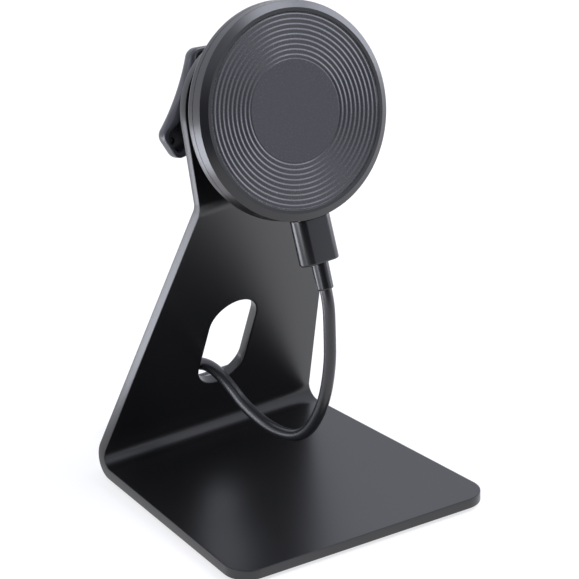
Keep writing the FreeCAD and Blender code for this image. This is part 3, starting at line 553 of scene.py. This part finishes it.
def finish(context, name):
    """Material of this name, made once: noise of a real size moves the colour, the roughness and, by bump,
    the surface."""
    if name in bpy.data.materials:
        return bpy.data.materials[name]
    spread, rough, rough_spread, size, depth, metallic, ior = FINISH_VALUES[name]
    shade = getattr(settings(context, "finishes"), name)
    material, tree, shader = new_material(name)
    place = add_node(tree, "ShaderNodeTexCoord")
    noise = add_node(tree, "ShaderNodeTexNoise", {
        "Vector": place.outputs["Object"], "Scale": 1 / (size * MM), "Detail": 3.0, "Roughness": 0.6})
    tint = add_node(tree, "ShaderNodeMix", {
        "Factor": noise.outputs["Fac"], FIRST_COLOUR: [c * (1 - spread) for c in shade] + [1],
        SECOND_COLOUR: [c * (1 + spread) for c in shade] + [1]}, data_type="RGBA")
    level = add_node(tree, "ShaderNodeMapRange", {
        "Value": noise.outputs["Fac"], "To Min": rough - rough_spread, "To Max": rough + rough_spread})
    bump = add_node(tree, "ShaderNodeBump", {
        "Strength": 1.0, "Distance": depth * MM, "Height": noise.outputs["Fac"]})
    tree.links.new(tint.outputs[MIXED], shader.inputs["Base Color"])
    tree.links.new(level.outputs["Result"], shader.inputs["Roughness"])
    tree.links.new(bump.outputs["Normal"], shader.inputs["Normal"])
    shader.inputs["Metallic"].default_value = metallic
    if ior:
        shader.inputs["IOR"].default_value = ior
    return material


class STAND_OT_sheet(bpy.types.Operator):
    """Builds the bent sheet that is base, back plate and neck in one"""
    bl_idname = "stand.sheet"
    bl_label = "Bent sheet"

    def execute(self, context):
        forward = Vector(KNOB_JOINT["axis"])
        neck_lean = math.acos(forward.z)
        piece = surface("bent_sheet", bent_sheet(settings(context, "sheet"), neck_lean))
        seat(piece, "stand", "frame_metal", finish(context, "anodised_aluminium"), "stand_frame")
        return {"FINISHED"}


# Steps round the turned pieces, and points across one ring
SHELL_STEPS, FACE_STEPS, CLAMP_STEPS, SLEEVE_STEPS, PIN_STEPS = 256, 320, 128, 64, 24
RING_POINTS = 12


class STAND_OT_puck(bpy.types.Operator):
    """Builds the puck's two shells and its ringed face"""
    bl_idname = "stand.puck"
    bl_label = "Puck"

    def execute(self, context):
        z, matrix = settings(context, "puck"), axis_place()
        shell = finish(context, "moulded_polycarbonate")
        inside, face = z.radius - z.wall, z.radius - z.chamfer_width
        pad_rim, seat_level = face - z.lip, z.front - z.pad_seat
        rear = rounded_profile(
            [(0, z.back), (z.radius, z.back), (z.radius, z.seam - z.seam_break),
             (z.radius - z.seam_break, z.seam), (inside, z.seam), (inside, z.back + z.wall),
             (0, z.back + z.wall)],
            [0, z.back_round, FINE_EDGE, FINE_EDGE, SMALL_EDGE, SMALL_EDGE, 0])
        piece = surface("puck_rear_shell", [turned(rear, SHELL_STEPS, matrix, False)])
        seat(piece, "stand", "puck_shell", shell, "rear_housing")
        front = rounded_profile(
            [(inside, z.seam), (z.radius - z.seam_break, z.seam), (z.radius, z.seam + z.seam_break),
             (z.radius, z.front - z.chamfer_depth), (face, z.front), (pad_rim, z.front),
             (pad_rim, seat_level), (inside, seat_level - z.seat_fall)],
            [SMALL_EDGE, FINE_EDGE, FINE_EDGE, z.edge, z.edge, z.edge, SMALL_EDGE, SMALL_EDGE])
        piece = surface("puck_front_shell", [turned(front, SHELL_STEPS, matrix, True)])
        seat(piece, "stand", "puck_shell", shell, "front_bezel")
        # Face: a flat middle, whole cosine waves from the first ring to the rim, and a plain edge and back.
        count = int((pad_rim - z.ring_first) / z.ring_pitch + 0.5)
        crest, rim, plain = z.front - z.recess, pad_rim - z.pad_gap, z.ring_first - z.ring_pitch / 2
        groove, foot = crest - z.ring_height, crest - z.pad
        across = np.linspace(-0.5, 0.5, RING_POINTS, endpoint=False) * z.ring_pitch
        ring = z.ring_height / 2 * (np.cos(2 * math.pi * across / z.ring_pitch) - 1)
        radius = (z.ring_first + z.ring_pitch * np.arange(count)[:, None] + across).ravel()
        level = crest + np.tile(ring, count)
        outside = rounded_profile(
            [(radius[-1], groove), (rim - z.ring_round, crest), (rim, crest), (rim, foot), (0, foot)],
            [0, z.ring_round, FINE_EDGE, 0, 0])
        middle = rounded_profile([(0, crest), (plain - z.ring_height, crest), (plain, groove)],
                                 [0, z.ring_round, 0])[:-1]
        profile = np.vstack([middle, np.stack([radius, level], axis=-1), outside[1:]])
        piece = surface("puck_face", [turned(profile, FACE_STEPS, matrix, False)])
        seat(piece, "stand", "ridged_face", finish(context, "face_silicone"), "face_pad")
        return {"FINISHED"}


# Steps along a lobe's flat end, round one of its corners and along the hollow side
END_STEPS, CORNER_STEPS, SIDE_STEPS = 8, 10, 24
# Land kept flat beside a pocket, in rim roundings, and the depth of its fall to the flank against its width
FLAT_LAND, FALL_DEPTH = 1.4, 0.8
# Edges of the bored knob that turn by more than this stay sharp
SHARP_TURN = math.radians(35)


def lobed_outline(reach, waist, hollow, corner):
    """Points and outward normals of three flat-ended lobes: along each end, round its corner circle, along
    the hollow side's circle and round the next corner; a corner circle touches the end and the side's."""
    third = 2 * math.pi / 3
    half_end = (waist - reach * math.cos(third / 2)) / math.sin(third / 2)
    side = np.array([math.cos(third / 2), math.sin(third / 2)])
    half_chord = reach * math.sin(third / 2) - half_end * math.cos(third / 2)
    bend = (half_chord ** 2 + hollow ** 2) / (2 * hollow)
    centre = side * (waist - hollow + bend)
    knuckle = np.array([reach - corner, 0.0])
    knuckle[1] = centre[1] - math.sqrt((bend + corner) ** 2 - (knuckle[0] - centre[0]) ** 2)
    stop = math.atan2(*(centre - knuckle)[::-1])
    flat = np.linspace(-knuckle[1], knuckle[1], END_STEPS, endpoint=False)
    turns = np.concatenate([0 * flat, np.linspace(0, stop, CORNER_STEPS, endpoint=False),
                            np.linspace(stop, third - stop, SIDE_STEPS, endpoint=False),
                            np.linspace(third - stop, third, CORNER_STEPS, endpoint=False)])
    normals = np.stack([np.cos(turns), np.sin(turns)], axis=-1)
    ends = np.stack([reach + 0 * flat, flat], axis=-1)
    mirror = 2 * np.outer(side, side) - np.eye(2)
    _, near, hollowed, far = np.split(normals, np.cumsum([END_STEPS, CORNER_STEPS, SIDE_STEPS]))
    points = np.vstack([ends, knuckle + corner * near, centre - bend * hollowed,
                        mirror @ knuckle + corner * far])
    turn = [plane_turn(a) for a in third * np.arange(3)]
    return np.vstack([points @ t for t in turn]), np.vstack([normals @ t for t in turn])


def lobed_knob(z):
    """Rows of the knob from the blind end of its bore: hub, cone, pocket floor and wall, rim, flank and back.
    Where the pocket would lie inside the hub, its rows fall together on the hub at the rim. The wider the
    land between pocket and side is, the further it falls off to the flank, on a quarter of an ellipse."""
    outside, out = lobed_outline(z.reach, z.waist, z.hollow, z.corner)
    pocket, into = lobed_outline(z.reach - z.wall, z.waist - z.wall, z.pocket_hollow, z.corner - z.wall)
    away = np.hypot(*pocket.T)[:, None]
    unit = pocket / away
    inside = away < z.skirt
    pocket, into = np.where(inside, unit * z.skirt, pocket), np.where(inside, unit, into)
    deep = np.where(inside[:, 0], 0, z.rim - z.back - z.floor)
    lip = np.minimum(z.rim_round, deep)
    land = np.hypot(*(outside - pocket).T)[:, None]
    fall = np.clip(land - FLAT_LAND * z.rim_round, z.rim_round, z.edge)
    chamfer = z.front - SOFT_EDGE
    rows = [(0 * unit, z.bore_end), (unit * z.bore, z.bore_end), (unit * z.bore, chamfer),
            (unit * (z.bore + SOFT_EDGE), z.front), (unit * (z.hub - SOFT_EDGE), z.front),
            (unit * z.hub, chamfer), (unit * z.skirt, z.rim), (unit * z.skirt, z.rim - deep),
            (pocket, z.rim - deep)]
    arc = quarter_round(7)
    rows += [(pocket + into * lip[:, None] * b, z.rim - lip * a) for a, b in arc]
    rows += [(outside - out * fall * a, z.rim - FALL_DEPTH * fall[:, 0] * b) for a, b in arc]
    rows += [(outside - out * z.edge * b, z.back + z.edge * a) for a, b in arc]
    rows += [(0 * unit, z.back)]
    turn = plane_turn(z.lobe_angle)
    return np.array([np.column_stack([flat @ turn, level + np.zeros(len(flat))]) for flat, level in rows])


def bored(piece, cutter):
    """Cuts the cutter out of the piece for good and removes it."""
    cut = piece.modifiers.new("pin_holes", "BOOLEAN")
    cut.object, cut.operation, cut.solver = cutter, "DIFFERENCE", "EXACT"
    shape = bpy.data.meshes.new_from_object(piece.evaluated_get(bpy.context.evaluated_depsgraph_get()))
    piece.modifiers.remove(cut)
    piece.data, rough = shape, piece.data
    shape.name = piece.name
    for mesh in (rough, cutter.data):
        bpy.data.meshes.remove(mesh)
    return piece


# Corners of the mount's profile: radius, level in front of the neck and rounding, in millimetres
SPOOL = [(0, 0, 0), (16, 0, 0.3), (16, 2.5, 0.5), (9.5, 5, 2), (9.5, 11.95, 1), (10.75, 13.2, 0.5),
         (17, 13.2, 0.3), (17, 16.2, 0.3), (0, 16.2, 0)]


class STAND_OT_clamp(bpy.types.Operator):
    """Builds the knob, the washer and the mount that hold the puck to the neck"""
    bl_idname = "stand.clamp"
    bl_label = "Clamp"

    def execute(self, context):
        z, matrix = settings(context, "knob"), axis_place()
        nylon, steel = finish(context, "glass_filled_nylon"), finish(context, "plated_steel")
        knob = surface("lobed_knob", [(placed(lobed_knob(z), matrix), True, None)])
        low, high, bore = z.back + z.floor - z.pin_depth, z.back + z.floor + MM, z.pin_hole / 2
        pin = np.array([(0, low), (bore, low), (bore, high), (0, high)])
        pins = []
        for i in range(3):
            turn = Matrix.Rotation(z.lobe_angle + i * math.tau / 3, 4, "Z")
            place = matrix @ turn @ Matrix.Translation((z.pin_circle, 0, 0))
            pins.append(turned(pin, PIN_STEPS, place, False))
        bored(knob, surface("pin_holes", pins)).data.set_sharp_from_angle(angle=SHARP_TURN)
        seat(knob, "clamp_knob", "knob_plastic", nylon, "clamp_knob")
        low = z.front + z.washer_gap
        high = low + z.washer_thick
        ring = rounded_profile(
            [(z.washer_bore, low), (z.washer_radius, low), (z.washer_radius, high), (z.washer_bore, high)],
            [SMALL_EDGE, SOFT_EDGE, SOFT_EDGE, SMALL_EDGE])
        piece = surface("washer", [turned(ring, CLAMP_STEPS, matrix, True)])
        seat(piece, "stand", "steel", steel, "thrust_washer")
        corners = np.array(SPOOL) * MM
        spool = rounded_profile(corners[:, :2], corners[:, 2])
        piece = surface("mount_spool", [turned(spool, CLAMP_STEPS, matrix, False)])
        seat(piece, "stand", "mount_plastic", nylon, "mount_head")
        return {"FINISHED"}


class STAND_OT_fittings(bpy.types.Operator):
    """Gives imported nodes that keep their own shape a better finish: pad, screws and what the puck holds"""
    bl_idname = "stand.fittings"
    bl_label = "Pad, screws and inner parts"

    def execute(self, context):
        nodes_by_finish = {
            "plated_steel": ["mount_screws", "clamp_stud", "magnet_ring"],
            "turned_brass": ["knob_insert"],
            "pad_silicone": ["base_pad"],
            "enamelled_copper": ["charging_coil"],
            "sintered_ferrite": ["ferrite_shield"],
            "solder_mask": ["circuit_board"],
            "drawn_nickel": ["usb_socket", "plug_shell", "far_plug_shell"],
        }
        for name, nodes in nodes_by_finish.items():
            for node in nodes:
                NODES[node].data.materials.clear()
                NODES[node].data.materials.append(finish(context, name))
        return {"FINISHED"}


# The lead's route in millimetres, as in the part's source: from the near sleeve to the hank
ROUTE = [
    (0.0, -21.4, 60.6),
    (0.0, -21.7, 49.2),
    (-0.4, -18.8, 35.2),
    (-1.2, -11.0, 22.8),
    (-2.4, 1.5, 19.6),
    (-3.8, 13.5, 22.7),
    (-4.2, 20.7, 26.6),
    (-4.6, 27.8, 29.4),
    (-5.1, 34.7, 28.3),
    (-5.9, 41.2, 23.7),
    (-6.4, 45.2, 16.9),
    (-4.6, 49.2, 9.0),
    (3.2, 50.4, 4.3),
    (13.0, 45.4, 3.4),
]
# From the hank to the far sleeve
TAIL = [(-9.0, 43.6, 6.0), (-3.5, 45.0, 7.9), (1.5, 46.3, 10.2)]
# Fold centres along X, and for each layer its middle line and height
FOLDS = (-8.55, 30.95)
LAYERS = ((52.75, 2.25), (51.95, 5.75))
# Points on a layer's near and far run, along X, and on the climb between layers: X, way off the run, height
NEAR_RUN, FAR_RUN = 22.0, (18.0, 4.0)
CLIMB = ((-1.0, -0.3, 3.0), (10.0, 0.0, 5.6))
FOLD_POINTS = 7
# Tip of the far sleeve, on the hank
FAR_SLEEVE = (10.5, 47.1, 11.2)


def hank_points(fold):
    """Control points of the put-away turns: along the near run, round the right fold, back along the far run
    and round the left fold, once for each layer, climbing on the near run."""
    turn = np.linspace(-math.pi / 2, math.pi / 2, FOLD_POINTS)
    points = []
    for middle, level in LAYERS:
        right = np.stack([FOLDS[1] + fold * np.cos(turn), middle + fold * np.sin(turn)], axis=-1)
        left = np.stack([FOLDS[0] - fold * np.cos(turn), middle - fold * np.sin(turn)], axis=-1)
        near = [(NEAR_RUN, middle - fold)]
        far = [(x, middle + fold) for x in FAR_RUN]
        flat = np.vstack([near, right, far, left])
        points.append(np.column_stack([flat, np.full(len(flat), level)]))
    climb = [(x, middle - fold + off, level) for (x, off, level), (middle, _) in zip(CLIMB, LAYERS)]
    return [*map(tuple, points[0]), *climb, *map(tuple, points[1])]


def plug_frames(context):
    """Level, top and sleeve's tip of the plugs, and frames of the near one and the far one on the hank."""
    lead, puck = settings(context, "lead"), settings(context, "puck")
    level = puck.back + lead.port_level
    top = -puck.radius - lead.plug_gap
    tip = top - lead.grip_length - lead.relief_length
    far = Matrix.Translation(Vector(FAR_SLEEVE) * MM) @ Matrix.Rotation(-math.pi / 2, 4, "Z")
    far = far @ Matrix.Translation((0, -tip, -level))
    return level, top, tip, {"": axis_place(), "far_": far}


# An inset, in metres, that closes any section to a line
CLOSED = 1.0


class STAND_OT_plugs(bpy.types.Operator):
    """Builds the grip and sleeve at each end of the lead"""
    bl_idname = "stand.plugs"
    bl_label = "Plugs"

    def execute(self, context):
        z = settings(context, "lead")
        grip = finish(context, "overmoulded_elastomer")
        level, top, tip, frames = plug_frames(context)
        low, arc = top - z.grip_length, quarter_round(6)
        foot = [(low + z.grip_round * a, z.grip_round * b) for a, b in arc][::-1]
        head = [(top - z.grip_top * a, z.grip_top * b) for a, b in arc]
        stations = [(low, CLOSED), (low, z.grip_round + SMALL_EDGE), *foot, (top - 2 * z.grip_top, 0), *head,
                    (top, z.grip_top + SMALL_EDGE), (top, CLOSED)]
        sleeve = rounded_profile([(0, -low), (z.relief_root / 2, -low), (z.relief_tip / 2, -tip), (0, -tip)],
                                 [0, SMALL_EDGE, z.relief_round, 0])
        for prefix, matrix in frames.items():
            body = bar(z.grip_width, z.grip_height, z.grip_corner, stations)
            body[..., 2] += level
            if not prefix:
                near_rim = np.clip((body[..., 1] - top) / z.grip_hollow + 1, 0, 1)
                body[..., 1] -= near_rim * (top + np.sqrt(top ** 2 - body[..., 0] ** 2))
            piece = surface(prefix + "plug_grip", [(placed(body, matrix), True, None)])
            seat(piece, "stand", "plug_moulding", grip, prefix + "plug_body")
            down = matrix @ Matrix.Translation((0, 0, level)) @ Matrix.Rotation(math.pi / 2, 4, "X")
            piece = surface(prefix + "plug_sleeve", [turned(sleeve, SLEEVE_STEPS, down, False)])
            seat(piece, "stand", "plug_moulding", grip, prefix + "strain_relief")
        return {"FINISHED"}


class STAND_OT_lead(bpy.types.Operator):
    """Lays the lead from the near plug through the slot and winds the rest into a hank"""
    bl_idname = "stand.lead"
    bl_label = "Lead"

    def execute(self, context):
        z = settings(context, "lead")
        level, _, tip, frames = plug_frames(context)
        near = [frames[""] @ Vector((0, tip - way, level)) for way in (0, z.lead_out)]
        far = [frames["far_"] @ Vector((0, tip - way, level)) for way in (z.lead_out, 0)]
        hand = [Vector(p) * MM for p in [*ROUTE, *hank_points(z.fold / MM), *TAIL]]
        points = near + hand + far
        curve = bpy.data.curves.new("lead_cable", "CURVE")
        curve.dimensions = "3D"
        spline = curve.splines.new("NURBS")
        spline.points.add(len(points) - 1)
        spline.points.foreach_set("co", np.array([(*p, 1.0) for p in points]).ravel())
        spline.order_u = 3
        spline.use_endpoint_u = True
        spline.resolution_u = 12
        curve.bevel_depth = z.cable / 2
        curve.bevel_resolution = 8
        piece = bpy.data.objects.new("lead_cable", curve)
        context.scene.collection.objects.link(piece)
        seat(piece, "stand", "cable_jacket", finish(context, "extruded_jacket"),
             "cable_run", "cable_hank", "cable_tail")
        return {"FINISHED"}


class STAND_OT_strap(bpy.types.Operator):
    """Builds the strap that holds the hank"""
    bl_idname = "stand.strap"
    bl_label = "Strap"

    def execute(self, context):
        z = settings(context, "lead")
        low, high = (np.array(c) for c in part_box("hank_tie"))
        size, middle = high - low, (low + high) / 2
        rows = []
        for x, inset in ((low[0], 0), (high[0], 0), (high[0], z.strap), (low[0], z.strap), (low[0], 0)):
            section = rounded_rectangle(size[1] - 2 * inset, size[2] - 2 * inset, z.strap_corner - inset)
            rows.append(np.column_stack([np.full(len(section), x), middle[1:] + section]))
        piece = surface("hank_strap", [(np.array(rows), True, None)])
        seat(piece, "stand", "tie_fabric", finish(context, "woven_strap"), "hank_tie")
        return {"FINISHED"}


# Colour of the studio's light
COOL_WHITE = (0.925, 0.95, 1.075)
# Half the floor's side in metres, and how far its own light lifts it towards white
FLOOR_REACH, FLOOR_LIFT = 6.0, 0.7
# Direction of the studio's dark side, cosines between which it fades in, and its brightness
DARK_SIDE, DARK_FADE, DARK_LEVEL = (-0.31, -0.95, 0.1), (0.66, 0.88), 0.02
# Boxes that face the stand: place and size in metres, and power in watts
BOXES = {
    "key_box": ((0.9, -0.2, 0.38), (0.6, 0.75), 6.4),
    "top_box": ((0.47, -0.27, 0.86), (0.5, 0.5), 5.0),
    "left_box": ((-0.7, 0.0, 0.16), (0.65, 0.3), 3.4),
}
# Strip that lies beside the stand and faces up: place, size, power and turn
STRIP = ((-0.174, 0.151, 0.004), (0.1, 0.21), 0.39, math.radians(-28.7))
# The photograph's width in pixels, and the camera's sensor in millimetres
PHOTO_PIXELS, SENSOR = 579, 36.0


def studio_floor():
    """White floor that keeps the object's shadow; camera and reflections see it lifted towards white."""
    material, tree, shader = new_material("studio_floor")
    shader.inputs["Base Color"].default_value = (*linear("#8c8c8c"), 1)
    shader.inputs["Roughness"].default_value = 0.9
    path = add_node(tree, "ShaderNodeLightPath")
    seen = path.outputs["Is Camera Ray"]
    for ray in ("Is Glossy Ray", "Is Transmission Ray"):
        either = add_node(tree, "ShaderNodeMath", {0: seen, 1: path.outputs[ray]}, operation="MAXIMUM")
        seen = either.outputs[0]
    lift = add_node(tree, "ShaderNodeMath", {0: seen, 1: FLOOR_LIFT}, operation="MULTIPLY")
    shader.inputs["Emission Color"].default_value = (1, 1, 1, 1)
    tree.links.new(lift.outputs[0], shader.inputs["Emission Strength"])
    return material


def studio_world():
    """White all round, with one dark side that the black finishes mirror; to the camera it is all white."""
    world = bpy.data.worlds.new("studio")
    world.use_nodes = True
    tree = world.node_tree
    tree.nodes.clear()
    way = add_node(tree, "ShaderNodeTexCoord")
    facing = add_node(tree, "ShaderNodeVectorMath", {
        0: way.outputs["Generated"], 1: tuple(Vector(DARK_SIDE).normalized())}, operation="DOT_PRODUCT")
    flag = add_node(tree, "ShaderNodeMapRange", {
        "Value": facing.outputs["Value"], "From Min": DARK_FADE[0], "From Max": DARK_FADE[1], "To Min": 1.0,
        "To Max": DARK_LEVEL}, interpolation_type="SMOOTHSTEP")
    path = add_node(tree, "ShaderNodeLightPath")
    bright = add_node(tree, "ShaderNodeMath", {
        0: flag.outputs["Result"], 1: path.outputs["Is Camera Ray"]}, operation="MAXIMUM")
    sky = add_node(tree, "ShaderNodeBackground", {"Color": (*COOL_WHITE, 1), "Strength": bright.outputs[0]})
    add_node(tree, "ShaderNodeOutputWorld", {"Surface": sky.outputs[0]})
    return world


def soft_box(name, place, aim, size, power, turn=0.0, spared=None):
    """Rectangular lamp at a place, facing the point it lights and turned about that line; it doesn't light
    the piece that is spared."""
    light = bpy.data.lights.new(name, "AREA")
    light.shape = "RECTANGLE"
    light.size, light.size_y = size
    light.energy = power
    light.color = COOL_WHITE
    lamp = bpy.data.objects.new(name, light)
    lamp.location = place
    lamp.rotation_mode = "QUATERNION"
    facing = (Vector(aim) - Vector(place)).to_track_quat("-Z", "Y")
    lamp.rotation_quaternion = facing @ Quaternion((0, 0, 1), turn)
    lamp.visible_camera = False
    if spared:
        left_out = bpy.data.collections.new(name + "_leaves_out")
        left_out.objects.link(spared)
        left_out.collection_objects[0].light_linking.link_state = "EXCLUDE"
        lamp.light_linking.receiver_collection = left_out
    bpy.context.scene.collection.objects.link(lamp)


def photo_camera(z):
    """Camera that looks at the target from the photograph's angle, as far off as focal length over scale."""
    flat = math.cos(z.elevation)
    back = Vector((math.sin(z.azimuth) * flat, -math.cos(z.azimuth) * flat, math.sin(z.elevation)))
    camera = bpy.data.cameras.new("photo_camera")
    camera.sensor_width = SENSOR
    camera.lens = SENSOR * z.focal / PHOTO_PIXELS
    camera.clip_start, camera.clip_end = 0.01, 100.0
    view = bpy.data.objects.new("photo_camera", camera)
    view.location = Vector(z.target) + back * (z.focal / z.scale)
    view.rotation_mode = "QUATERNION"
    view.rotation_quaternion = (-back).to_track_quat("-Z", "Y")
    return view


class STAND_OT_studio(bpy.types.Operator):
    """Sets the floor, the light and the camera at the photograph's angle"""
    bl_idname = "stand.studio"
    bl_label = "Studio"

    def execute(self, context):
        z, scene = settings(context, "studio"), context.scene
        corners = FLOOR_REACH * np.array([[(-1, -1, 0), (1, -1, 0)], [(-1, 1, 0), (1, 1, 0)]])
        floor = surface("studio_floor", [(corners, False, None)])
        floor.data.materials.append(studio_floor())
        scene.world = studio_world()
        # From the sides the satin sheet would mirror the boxes as white fields, so they leave it out.
        sheet = bpy.data.objects["bent_sheet"]
        for name, (place, size, power) in BOXES.items():
            soft_box(name, place, z.target, size, power, spared=sheet)
        place, size, power, turn = STRIP
        soft_box("floor_strip", place, (*place[:2], 1), size, power, turn)
        view = photo_camera(z)
        scene.collection.objects.link(view)
        scene.camera = view
        scene.view_settings.view_transform = "Standard"
        return {"FINISHED"}


OPERATORS = (STAND_OT_sheet, STAND_OT_puck, STAND_OT_clamp, STAND_OT_fittings, STAND_OT_plugs, STAND_OT_strap,
             STAND_OT_lead, STAND_OT_studio)


class STAND_PT_panel(bpy.types.Panel):
    """Lists the pieces of the stand"""
    bl_idname = "STAND_PT_panel"
    bl_label = "Charging stand"
    bl_space_type = "VIEW_3D"
    bl_region_type = "UI"
    bl_category = "Charging stand"

    def draw(self, context):
        for operator in OPERATORS:
            self.layout.operator(operator.bl_idname)
        for group, kind in GROUPS.items():
            box = self.layout.box()
            for name in kind.__annotations__:
                box.prop(settings(context, group), name)


def register():
    for group, kind in GROUPS.items():
        bpy.utils.register_class(kind)
        setattr(bpy.types.Scene, "stand_" + group, PointerProperty(type=kind))
    for kind in (*OPERATORS, STAND_PT_panel):
        bpy.utils.register_class(kind)


def unregister():
    for kind in (STAND_PT_panel, *reversed(OPERATORS)):
        bpy.utils.unregister_class(kind)
    for group, kind in reversed(GROUPS.items()):
        delattr(bpy.types.Scene, "stand_" + group)
        bpy.utils.unregister_class(kind)


def main():
    register()
    bpy.ops.stand.sheet()
    bpy.ops.stand.puck()
    bpy.ops.stand.clamp()
    bpy.ops.stand.fittings()
    bpy.ops.stand.plugs()
    bpy.ops.stand.strap()
    bpy.ops.stand.lead()
    bpy.ops.stand.studio()


if __name__ == "__main__":
    main()
